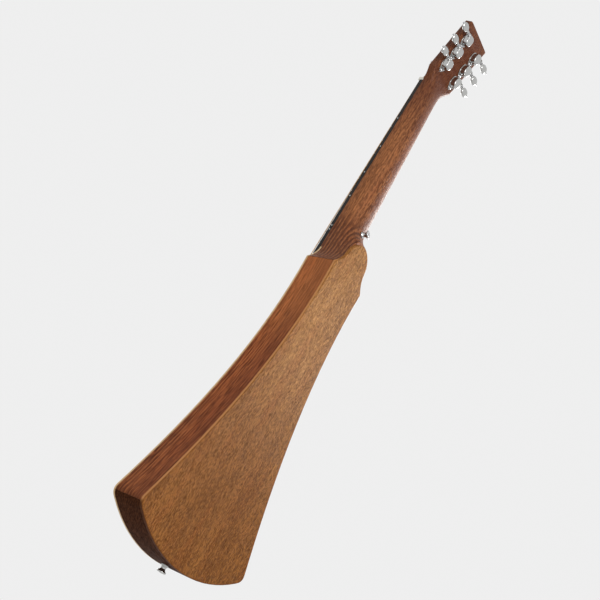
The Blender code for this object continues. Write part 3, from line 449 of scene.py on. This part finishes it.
BEVEL = 0.0004
rows = []
for down in (0.0, BEVEL, BOARD_LENGTH - BEVEL, BOARD_LENGTH):
    inset = 0.0003 if down in (0.0, BOARD_LENGTH) else 0.0
    half = board_half(down) - inset
    arc = [half * math.cos(math.pi * i / 20) for i in range(2, 19)]
    face = [(x, board_face(x, down) + inset) for x in arc]
    low = board_face(half, down) + BEVEL
    outline = [(half, -GAP - inset), (half, low)] + face + [(-half, low), (-half, -GAP - inset)]
    rows.append([(x, y, -down) for x, y in outline])
piece("fingerboard_wood", skin(bmesh.new(), rows), dark_wood, node="fingerboard")

paint, spot = finish("nickel silver frets")
wear = spot.noise((260, 260, 60), 3.0)
shade(spot, wear.mix((0.50, 0.49, 0.45), (0.62, 0.61, 0.57)), wear * 0.25 + 0.16, wear, 0.00002, Metallic=1.0)
fret_metal = paint
FRET_SUNK = 0.0002
BEAD = [math.pi * i / 8 for i in range(9)]
for number in range(1, FRETS + 1):
    down = fret_down(number)
    half = board_half(down) - GAP
    rows = []
    for f in (-1.0, -0.985, -0.96, -0.8, -0.5, -0.2, 0.2, 0.5, 0.8, 0.96, 0.985, 1.0):
        high = FRET_HEIGHT * (0.55 if abs(f) == 1 else 1.0 if abs(f) < 0.97 else 0.88) + FRET_SUNK
        foot = board_face(half * f, down) + FRET_SUNK
        rows.append([(half * f, foot - high * math.sin(t) ** 0.8, -down + FRET_HALF * math.cos(t))
                     for t in BEAD])
    piece(f"fret_{number}", skin(bmesh.new(), rows), fret_metal, angle=50)

paint, spot = finish("pearl dots")
cloud = spot.noise((700, 700, 700), 3.0)
shade(spot, cloud.mix((0.68, 0.68, 0.64), (0.86, 0.86, 0.84)), cloud * 0.15 + 0.18)
pearl = paint


def between_frets(number):
    """Distance below the nut of the middle between a fret and the one before it."""
    return (fret_down(number - 1) + fret_down(number)) / 2


def dot(name, spot, out, radius):
    """A thin disc let into the wood, with a softly rounded rim."""
    place = Matrix.Translation(spot) @ Vector(out).to_track_quat("Z", "Y").to_matrix().to_4x4()
    high, deep = 0.00006, 0.0010
    rim = ((0.0, high), (radius - 0.0003, high), (radius, 0.0), (radius, -deep), (0.0, -deep))
    piece(name, skin(bmesh.new(), turned(rim, 28, place)), pearl)


FACE_DOT = 0.0030
EDGE_DOT = 0.0010
EDGE_OUT = (1, 0, -0.0156)
for number, marks in ((3, (0,)), (5, (0,)), (7, (0,)), (9, (0,)), (12, (-1, 1)), (15, (0,))):
    down = between_frets(number)
    for mark in marks:
        x = 0.0125 * mark
        slope = Vector((x / BOARD_RADIUS, -1.0, 0.0))
        dot(f"face_dot_{number}_{mark + 1}", (x, board_face(x, down), -down), slope, FACE_DOT)
        low = down + 0.0036 * mark
        if number < FRETS:
            spot = (board_half(low), -GAP - BOARD_THICK / 2, -low)
            dot(f"edge_dot_{number}_{mark + 1}", spot, EDGE_OUT, EDGE_DOT)


# Nut and saddle
# Both are bars of polished white bone. The nut sits at the fingerboard's end, with a slot for each
# string, and the saddle stands in a slot of the bridge, with a crown that carries them.

paint, spot = finish("polished bone")
fibre = spot.noise((500, 500, 2400), 2.0)
patch = spot.noise((90, 90, 90), 2.0)
white = (fibre * 0.5 + patch * 0.4).mix((0.86, 0.84, 0.78), (0.72, 0.67, 0.55))
shade(spot, white, fibre * 0.12 + 0.26, fibre, 0.00003)
for node in ("nut", "saddle"):
    dress(node, paint, 30)


# Bridge and its pins
# The bridge is glued to the soundboard and carved from the fingerboard's wood. Six turned white
# pins with a small dark eye hold the strings' balls under it.

dress("bridge", dark_wood, 30)

paint, spot = finish("white pins")
swirl = spot.noise((400, 400, 400), 2.0)
shade(spot, swirl.mix((0.78, 0.76, 0.70), (0.88, 0.87, 0.83)), swirl * 0.1 + 0.2)
pin_white = paint
paint, spot = finish("dark eyes")
swirl = spot.noise((900, 900, 900), 2.0)
shade(spot, swirl.mix((0.012, 0.012, 0.012), (0.03, 0.03, 0.03)), swirl * 0.1 + 0.2)
eye_black = paint
PIN_PROFILE = ((0.0, 0.00445), (0.0013, 0.0044), (0.0024, 0.0041), (0.0032, 0.0035), (0.0037, 0.0026),
               (0.0037, 0.0018), (0.0033, 0.0011), (0.0027, 0.0008), (0.0024, 0.0003), (0.0021, -0.0123),
               (0.0016, -0.0131), (0.0, -0.0133))
EYE_PROFILE = ((0.0, 0.00462), (0.0008, 0.0046), (0.0012, 0.0044), (0.0012, 0.0036), (0.0, 0.0036))
PINS_HALF = 0.027
PINS_FRONT = 0.0085
PINS_DOWN = 0.6270
for number in range(1, 7):
    spot = (PINS_HALF * (2 * (number - 1) / 5 - 1), -PINS_FRONT, -PINS_DOWN)
    place = Matrix.Translation(spot) @ Matrix.Rotation(math.pi / 2, 4, "X")
    piece(f"pin_{number}", skin(bmesh.new(), turned(PIN_PROFILE, 28)), pin_white,
          place=place, node=f"bridge_pin_{number}")
    piece(f"pin_eye_{number}", skin(bmesh.new(), turned(EYE_PROFILE, 20)), eye_black,
          place=place)


# Strings
# The two thinnest are plain steel, the others steel wound with bronze. Each runs from its ball at
# the bridge over saddle and nut to its post, and a short cut end sticks out of the post's hole.

STRING_RADII = (0.0002, 0.00022, 0.00030, 0.00041, 0.00053, 0.00067)
TILT = math.radians(12.15)
HEAD_BACK = 0.0127
HEAD_THICK = 0.013
FIRST_POST = 0.0349
POST_STEP = 0.0263
POST_ACROSS = 0.0188
POST_RADIUS = 0.0028
POST_HOLE = HEAD_THICK + 0.0109
ALONG = Vector((0.0, math.sin(TILT), math.cos(TILT)))
OUT = Vector((0.0, -math.cos(TILT), math.sin(TILT)))
HEAD = (Matrix.Translation((0.0, HEAD_BACK, 0.0))
        @ Matrix((Vector((1, 0, 0)), ALONG, OUT)).transposed().to_4x4())


def post_spots():
    """Number, side and distance along the headstock of each tuning machine's post."""
    for row in range(3):
        along = FIRST_POST + POST_STEP * row
        yield 6 - row, 1, along
        yield 1 + row, -1, along


def tube(points, radius, sides=12):
    """Rows of points for a round wire along a route, closed at both ends."""
    points = [Vector(p) for p in points]
    normal = Vector((0.31, 0.52, 0.79))
    rows = [[points[0]]]
    for i, point in enumerate(points):
        way = (points[min(i + 1, len(points) - 1)] - points[max(i - 1, 0)]).normalized()
        normal = (normal - way * normal.dot(way)).normalized()
        side = way.cross(normal)
        turns = [2 * math.pi * k / sides for k in range(sides)]
        rows.append([point + (normal * math.cos(t) + side * math.sin(t)) * radius for t in turns])
    return rows + [[points[-1]]]


paint, spot = finish("plain steel string")
dull = spot.noise((300, 300, 30), 2.0)
shade(spot, dull.mix((0.52, 0.52, 0.53), (0.64, 0.64, 0.65)), dull * 0.2 + 0.18, Metallic=1.0)
plain_string = paint
paint, spot = finish("bronze wound string")
dull = spot.noise((300, 300, 30), 2.0)
wrap = spot.node("TexWave", {"Vector": spot, "Scale": 1050.0}, "Fac", bands_direction="Z")
bronze = (wrap * 0.35 + dull * 0.4).mix((0.62, 0.38, 0.17), (0.36, 0.20, 0.08))
shade(spot, bronze, dull * 0.25 + 0.22, wrap, 0.00006, Metallic=1.0)
wound_string = paint
for number, side, along in post_spots():
    wire = plain_string if number < 3 else wound_string
    dress(f"string_{number}", wire, 50)
    radius = STRING_RADII[number - 1]
    around = POST_RADIUS + GAP + radius
    turns = 1.75 if number > 3 else 2.75
    high = HEAD_THICK + 0.0036 + radius + (2 * radius + 0.00045) * turns
    rise = POST_HOLE - high
    route = ((0.0, -around, high), (-0.25 * around, -around, high),
             (-0.30 * around, -around - 0.0002, high + 0.3 * rise),
             (-0.12 * around, -around - 0.0003, high + 0.8 * rise),
             (0.0, -around + 0.0004, POST_HOLE), (0.0, -0.001, POST_HOLE), (0.0, around, POST_HOLE),
             (0.0003, around + 0.0022, POST_HOLE + 0.0002), (0.0008, around + 0.0042, POST_HOLE + 0.0006))
    route = [HEAD @ Vector((side * (POST_ACROSS + x), along + y, z)) for x, y, z in route]
    piece(f"string_end_{number}", skin(bmesh.new(), tube(route, radius)), wire,
          f"post_{number}", angle=60)


# Tuning machines
# Six enclosed machines in polished, chromed die-cast metal, each screwed to the headstock's back
# through a tab and held in front by a washer and a threaded bushing around the post.

WORM_OFFSET = 0.0064
WORM_HEIGHT = 0.008
TAB_ALONG = 0.0100
BUTTON_CENTRE = 0.0242
COVER_ALONG = 0.0019
SHAFT_END = 0.0338
THREAD_RADIUS = 0.0022
BUTTON_HALF = 0.0028


def metal(name, low, high, smooth, rough, scale=240):
    """Plated metal with soft smudges and fine polishing marks."""
    paint, spot = finish(name)
    smudge = spot.noise((scale, scale, scale), 3.0)
    marks = spot.noise((2600, 2600, 240), 1.0)
    shade(spot, smudge.mix(low, high), smudge * (rough - smooth) + smooth, marks * 0.3 + smudge, 0.00001,
          Metallic=1.0)
    return paint


chrome = metal("polished chrome", (0.44, 0.44, 0.43), (0.56, 0.56, 0.55), 0.12, 0.26)
steel = metal("steel screws", (0.50, 0.50, 0.51), (0.66, 0.66, 0.67), 0.16, 0.36)
brass = metal("brass gear", (0.52, 0.34, 0.12), (0.70, 0.49, 0.20), 0.25, 0.45)


def squircle(wide, high, power, count):
    """Points of a rounded oblong in the XY plane, starting on +X."""
    points = []
    for i in range(count):
        t = 2 * math.pi * i / count
        c, s = math.cos(t), math.sin(t)
        points.append((wide * math.copysign(abs(c) ** (2 / power), c),
                       high * math.copysign(abs(s) ** (2 / power), s)))
    return points


def cover_rows(side):
    """The cover over gear and worm: an oblong with a nearly flat face and an apex at the shaft."""
    rows = []
    for height, scale in ((0.0013, 0.98), (0.0055, 0.965), (0.0085, 0.945), (0.0097, 0.925),
                          (0.0103, 0.885), (0.0107, 0.82), (0.0110, 0.66), (0.0112, 0.42), (0.01125, 0.2)):
        row = []
        for x, y in squircle(0.0073, 0.0090, 2.7, 48):
            y += COVER_ALONG
            if x > 0:
                x += 0.0014 * math.exp(-((y - WORM_OFFSET) / 0.0032) ** 2) * min(1.0, scale * 1.05)
            row.append((side * x * scale, COVER_ALONG + (y - COVER_ALONG) * scale, -height))
        rows.append(row)
    return rows + [[(0.0, COVER_ALONG, -0.0113)]]


def plate_rows(side):
    """The flat foot under the cover, drawn out to a round tab for the fixing screw."""
    outline = []
    for x, y in squircle(0.0078, 0.0097, 2.9, 64):
        y += COVER_ALONG
        tab = max(0.0, min(1.0, (-y - 0.0040) / 0.0040))
        outline.append((side * x * (1 - 0.42 * tab ** 1.5), y - 0.0058 * tab ** 1.6))
    levels = ((0.0003, 0.99), (0.0011, 1.0), (0.0014, 0.975))
    return [[(x * scale, y * scale, -height) for x, y in outline] for height, scale in levels]


SCREW_HEAD = 0.0021
SCREW = ((0.0, SCREW_HEAD), (0.0009, 0.00205), (0.0017, 0.0018), (0.0022, 0.0012), (0.0023, 0.0006),
         (0.0023, 0.0), (0.0011, 0.0), (0.0011, -0.0060), (0.0, -0.0076))


def cut(thing, tools):
    """Takes each tool's shape out of a piece, and closes up what is left too thin to see."""
    for tool in tools:
        bpy.context.scene.collection.objects.link(tool)
        change = thing.modifiers.new("cut", "BOOLEAN")
        change.solver = "EXACT"
        change.operation = "DIFFERENCE"
        change.object = tool
    bpy.context.view_layer.update()
    mesh = bpy.data.meshes.new_from_object(thing.evaluated_get(bpy.context.evaluated_depsgraph_get()))
    thing.modifiers.clear()
    shape = bmesh.new()
    shape.from_mesh(mesh)
    bmesh.ops.remove_doubles(shape, verts=shape.verts, dist=0.000002)
    bmesh.ops.dissolve_degenerate(shape, edges=shape.edges, dist=0.000001)
    shape.to_mesh(mesh)
    thing.data = mesh
    for tool in tools:
        bpy.data.objects.remove(tool)


def bar(size, place):
    """A block of a size, centred on a place, for cutting slots."""
    shape = bmesh.new()
    bmesh.ops.create_cube(shape, size=1.0)
    mesh = bpy.data.meshes.new("tool")
    shape.to_mesh(mesh)
    mesh.transform(place @ Matrix.Diagonal((*size, 1.0)))
    return bpy.data.objects.new("tool", mesh)


def cross_slot(thing, place, reach, deep):
    """A cross-shaped driver slot in a screw's head."""
    long, narrow = 2 * reach, 0.30 * reach
    cut(thing, [bar((long, narrow, 2 * deep), place), bar((narrow, long, 2 * deep), place)])


for number, side, along in post_spots():
    post = HEAD @ Matrix.Translation((side * POST_ACROSS, along, 0.0))
    shape = skin(bmesh.new(), cover_rows(side))
    skin(shape, plate_rows(side))
    face = HEAD_THICK
    collar = ((0.0031, face + 0.0029), (0.0047, face + 0.0029), (0.0052, face + 0.0025),
              (0.0053, face + 0.0010), (0.0063, face + 0.0010), (0.0066, face + 0.0007),
              (0.0066, face + GAP), (0.0043, face + GAP), (0.0043, GAP), (0.0031, GAP))
    skin(shape, turned(collar, 40), ring=True)
    shaft_spot = post @ Matrix.Translation((0.0, WORM_OFFSET, -WORM_HEIGHT))
    outward = Matrix.Rotation(side * math.pi / 2, 4, "Y")
    nose = shaft_spot @ outward
    bush = ((0.0016, 0.0070), (0.0033, 0.0070), (0.0033, 0.0086), (0.0030, 0.0090), (0.0016, 0.0090))
    skin(shape, turned(bush, 28, post.inverted() @ nose), ring=True)
    piece(f"machine_{number}", shape, chrome, place=post, node=f"tuner_housing_{number}")

    place = post @ Matrix.Translation((0.0, -TAB_ALONG, -0.0014)) @ Matrix.Rotation(math.pi, 4, "X")
    screw = piece(f"machine_screw_{number}", skin(bmesh.new(), turned(SCREW, 24)), steel,
                  place=place)
    cross_slot(screw, place @ Matrix.Translation((0.0, 0.0, SCREW_HEAD)), 0.0014, 0.0008)

    shaft = ((0.0, SHAFT_END), (0.0012, 0.0337), (0.0019, 0.0334), (0.0021, 0.0329), (0.0010, 0.0327),
             (0.0010, 0.0206), (0.0015, 0.0203), (0.0015, 0.0122), (0.0025, 0.0119), (0.0025, 0.0107),
             (0.0015, 0.0104), (0.0015, 0.0041), (0.0019, 0.0037), (0.0019, -0.0045), (0.0, -0.0046))
    shape = skin(bmesh.new(), turned(shaft, 24, nose))
    lead, steps = math.pi * 0.0006, 14
    thread = []
    for i in range(2 * steps + 1):
        turn = i / steps - 1
        angle = math.pi + 2 * math.pi * turn
        spot = (lead * turn, THREAD_RADIUS * math.cos(angle), THREAD_RADIUS * math.sin(angle))
        thread.append(shaft_spot @ Vector(spot))
    skin(shape, tube(thread, 0.0005, 8))
    worm = piece(f"worm_{number}", shape, steel, f"button_{number}", node=f"tuner_worm_{number}")
    cut(worm, [bar((0.0050, 0.0006, 0.0012), nose @ Matrix.Translation((0.0, 0.0, SHAFT_END)))])

    shape = bmesh.new()
    rows = [[(side * BUTTON_CENTRE, 0.0, -BUTTON_HALF)]]
    for height in (-0.995, -0.96, -0.88, -0.72, -0.45, -0.15, 0.15, 0.45, 0.72, 0.88, 0.96, 0.995):
        scale = (1 - abs(height) ** 2.4) ** (1 / 2.2)
        rows.append([(side * BUTTON_CENTRE + x * scale, y * scale, BUTTON_HALF * height)
                     for x, y in squircle(0.0082, 0.0063, 2.25, 40)])
    skin(shape, rows + [[(side * BUTTON_CENTRE, 0.0, BUTTON_HALF)]])
    stem = ((0.0018, 0.0136), (0.0023, 0.0134), (0.0026, 0.0138), (0.0023, 0.0156), (0.0024, 0.0172),
            (0.0018, 0.0180))
    boss = ((0.0012, 0.0310), (0.0020, 0.0310), (0.0021, 0.0322), (0.0018, 0.0326), (0.0012, 0.0326))
    for profile in (stem, boss):
        skin(shape, turned(profile, 24, outward), ring=True)
    piece(f"button_{number}_grip", shape, chrome, f"button_{number}", shaft_spot,
          f"tuner_button_{number}", 50)

    top = HEAD_THICK + 0.0135
    pillar = ((0.0, top - 0.0003), (0.0014, top - 0.0001), (0.0022, top), (0.0026, top - 0.0002),
              (0.0028, top - 0.0007), (0.0028, top - 0.0042), (0.0025, top - 0.0054),
              (0.0024, top - 0.0080), (0.0026, top - 0.0089), (0.0028, top - 0.0094), (0.0028, -0.0061),
              (0.0012, -0.0061), (0.0012, -0.0093), (0.0023, -0.0093), (0.0023, -0.0097), (0.0, -0.0097))
    made = piece(f"post_{number}_pillar", skin(bmesh.new(), turned(pillar, 32)), chrome,
                 f"post_{number}", post, f"tuner_post_{number}")
    hole = post @ Matrix.Translation((0.0, 0.0, POST_HOLE)) @ Matrix.Rotation(math.pi / 2, 4, "X")
    rod = ((0.0, 0.005), (0.0010, 0.005), (0.0010, -0.005), (0.0, -0.005))
    mesh = bpy.data.meshes.new("drill")
    skin(bmesh.new(), turned(rod, 16, hole)).to_mesh(mesh)
    cut(made, [bpy.data.objects.new("drill", mesh)])
    dress(f"tuner_gear_{number}", brass)


# Strap buttons
# Two turned and plated buttons, one on the heel and one in the middle of the tail, each held by a
# countersunk wood screw with a cross slot.

BUTTON_PROFILE = ((0.0030, 0.0096), (0.0034, 0.0100), (0.0056, 0.0100), (0.0061, 0.0098), (0.0063, 0.0094),
                  (0.0063, 0.0086), (0.0059, 0.0080), (0.0046, 0.0070), (0.0037, 0.0060), (0.0034, 0.0048),
                  (0.0034, 0.0030), (0.0038, 0.0020), (0.0046, 0.0012), (0.0049, 0.0006), (0.0049, 0.0),
                  (0.0018, 0.0), (0.0018, 0.0080))
HEEL_SPOT = 0.2825
HEEL_SIDE = 0.0025
HEEL_START = 0.262
HEEL_TIP = 0.3055
TAIL_END = 0.8045
SCREW_TOP = 0.0099


def neck_depth(down):
    """Depth of the neck's back between headstock and heel."""
    return 0.018 + (0.0268 - 0.018) * (down - 0.020) / 0.230


heel_depth = neck_depth(HEEL_SPOT)
heel_depth += (BODY_DEPTH - neck_depth(HEEL_TIP)) * ((HEEL_SPOT - HEEL_START) / (HEEL_TIP - HEEL_START)) ** 3
heel_depth *= (1 - (HEEL_SIDE / board_half(HEEL_SPOT)) ** 2.4) ** (1 / 2.4)
ENDS = (("heel", (-HEEL_SIDE, heel_depth, -HEEL_SPOT), Vector((-0.20, 0.92, 0.34)).normalized(), 0.0165),
        ("end", (0.0, BODY_DEPTH / 2, -TAIL_END), Vector((0.0, 0.0, -1.0)), 0.0115))
for end, spot, aim, deep in ENDS:
    place = Matrix.Translation(spot) @ aim.to_track_quat("Z", "Y").to_matrix().to_4x4()
    piece(f"{end}_strap_knob", skin(bmesh.new(), turned(BUTTON_PROFILE, 48), ring=True), chrome,
          place=place, node=f"{end}_strap_button")
    screw = ((0.0, SCREW_TOP), (0.0016, 0.00985), (0.0027, 0.0096), (0.0028, 0.0092), (0.0014, 0.0078),
             (0.0014, 0.002 - deep), (0.0, -deep))
    made = piece(f"{end}_strap_screw_head", skin(bmesh.new(), turned(screw, 32)), steel,
                 place=place, node=f"{end}_strap_screw")
    cross_slot(made, place @ Matrix.Translation((0.0, 0.0, SCREW_TOP)), 0.0017, 0.0010)


# Truss rod
# A steel bar, laid in a channel of the neck under the fingerboard. Its adjusting nut lies inside the
# body, where a key reaches it through the sound hole.

dress("truss_rod", steel)
